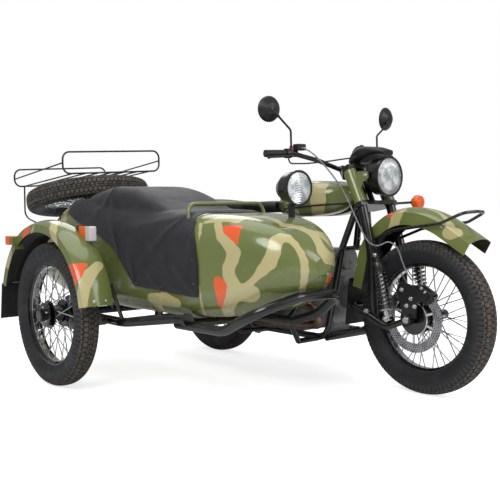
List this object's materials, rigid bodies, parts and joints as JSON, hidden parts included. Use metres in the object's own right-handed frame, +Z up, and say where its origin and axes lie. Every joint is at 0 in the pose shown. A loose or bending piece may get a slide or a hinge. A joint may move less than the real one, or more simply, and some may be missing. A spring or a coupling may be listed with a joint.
{
  "type": "sidecar motorcycle",
  "caption": "Motorcycle with a leading-link fork and a sidecar under a black cockpit cover, its spare wheel and a luggage rack on the trunk lid.",
  "frame": {"origin": "middle of the whole vehicle's box, on the ground", "axes": "+X forward, +Y to the rider's left, +Z up"},
  "size_m": [2.5644, 1.7388, 1.3563],
  "materials": {
    "camo_paint": "satin",
    "black_paint": "gloss",
    "black_satin": "satin",
    "tyre": "matte",
    "rubber": "matte",
    "alloy": "satin",
    "brushed_steel": "satin",
    "exhaust_steel": "satin",
    "black_plastic": "matte",
    "amber": "gloss",
    "red": "gloss",
    "lamp_glass": "gloss",
    "black_cloth": "matte",
    "saddle_vinyl": "satin"
  },
  "bodies": {
    "chassis": {"frame": "black_paint", "engine_case": "alloy", "cylinders": "alloy", "cylinder_heads": "alloy", "intake": "black_satin", "exhaust": "exhaust_steel", "foot_controls": "black_satin", "fuel_tank": "camo_paint", "tank_cap": "black_satin", "saddle": "saddle_vinyl", "rear_fender": "camo_paint", "tail_lamp": "red", "swingarm": "black_paint", "rear_shocks": "black_satin", "sidecar_body": "camo_paint", "tonneau": "black_cloth", "grab_rail": "camo_paint", "fog_lamp_shell": "black_paint", "fog_lamp_lens": "lamp_glass", "tie_down_eye": "black_paint", "sidecar_frame": "black_paint", "sidecar_swingarm": "black_paint", "sidecar_shock": "black_satin", "sidecar_fender": "camo_paint", "sidecar_mudflap": "rubber", "fender_lamps": "amber"},
    "steering": {"fork": "black_paint", "leading_link": "black_paint", "front_shocks": "black_satin", "brake_caliper": "black_satin", "handlebar": "black_paint", "grips": "rubber", "hand_controls": "black_plastic", "mirrors": "black_plastic", "headlamp_shell": "black_paint", "headlamp_lens": "lamp_glass", "fork_ears": "camo_paint", "instrument_cowl": "black_plastic", "front_fender": "camo_paint", "front_mudflap": "rubber", "fender_guard": "black_paint", "front_indicator": "amber", "brake_hose": "brushed_steel", "switch_leads": "rubber"},
    "front_wheel_body": {"front_wheel": "black_paint", "front_tyre": "tyre", "front_disc": "brushed_steel"},
    "rear_wheel_body": {"rear_wheel": "black_paint", "rear_tyre": "tyre"},
    "sidecar_wheel_body": {"sidecar_wheel": "black_paint", "sidecar_tyre": "tyre"},
    "trunk": {"trunk_lid": "camo_paint", "spare_wheel": "black_paint", "spare_tyre": "tyre", "luggage_rack": "black_paint"},
    "stand": {"centre_stand": "black_satin"}
  },
  "joints": [
    {"name": "steering_turn", "type": "hinge", "parent": "chassis", "child": "steering", "pos_m": [0.61837, 0.39857, 0.834], "axis": [-0.4226, 0, 0.9063], "range_deg": [-32, 32]},
    {"name": "front_wheel_spin", "type": "hinge", "parent": "steering", "child": "front_wheel_body", "pos_m": [0.93727, 0.39857, 0.345], "axis": [0, 1, 0], "continuous": true},
    {"name": "rear_wheel_spin", "type": "hinge", "parent": "chassis", "child": "rear_wheel_body", "pos_m": [-0.56273, 0.39857, 0.345], "axis": [0, 1, 0], "continuous": true},
    {"name": "sidecar_wheel_spin", "type": "hinge", "parent": "chassis", "child": "sidecar_wheel_body", "pos_m": [-0.36273, -0.75143, 0.345], "axis": [0, 1, 0], "continuous": true},
    {"name": "trunk_lid_hinge", "type": "hinge", "parent": "chassis", "child": "trunk", "pos_m": [-0.59023, -0.24143, 0.90715], "axis": [0, 1, 0], "range_deg": [0, 55]},
    {"name": "stand_fold", "type": "hinge", "parent": "chassis", "child": "stand", "pos_m": [-0.06273, 0.39857, 0.186], "axis": [0, -1, 0], "range_deg": [0, 80]}
  ]
}
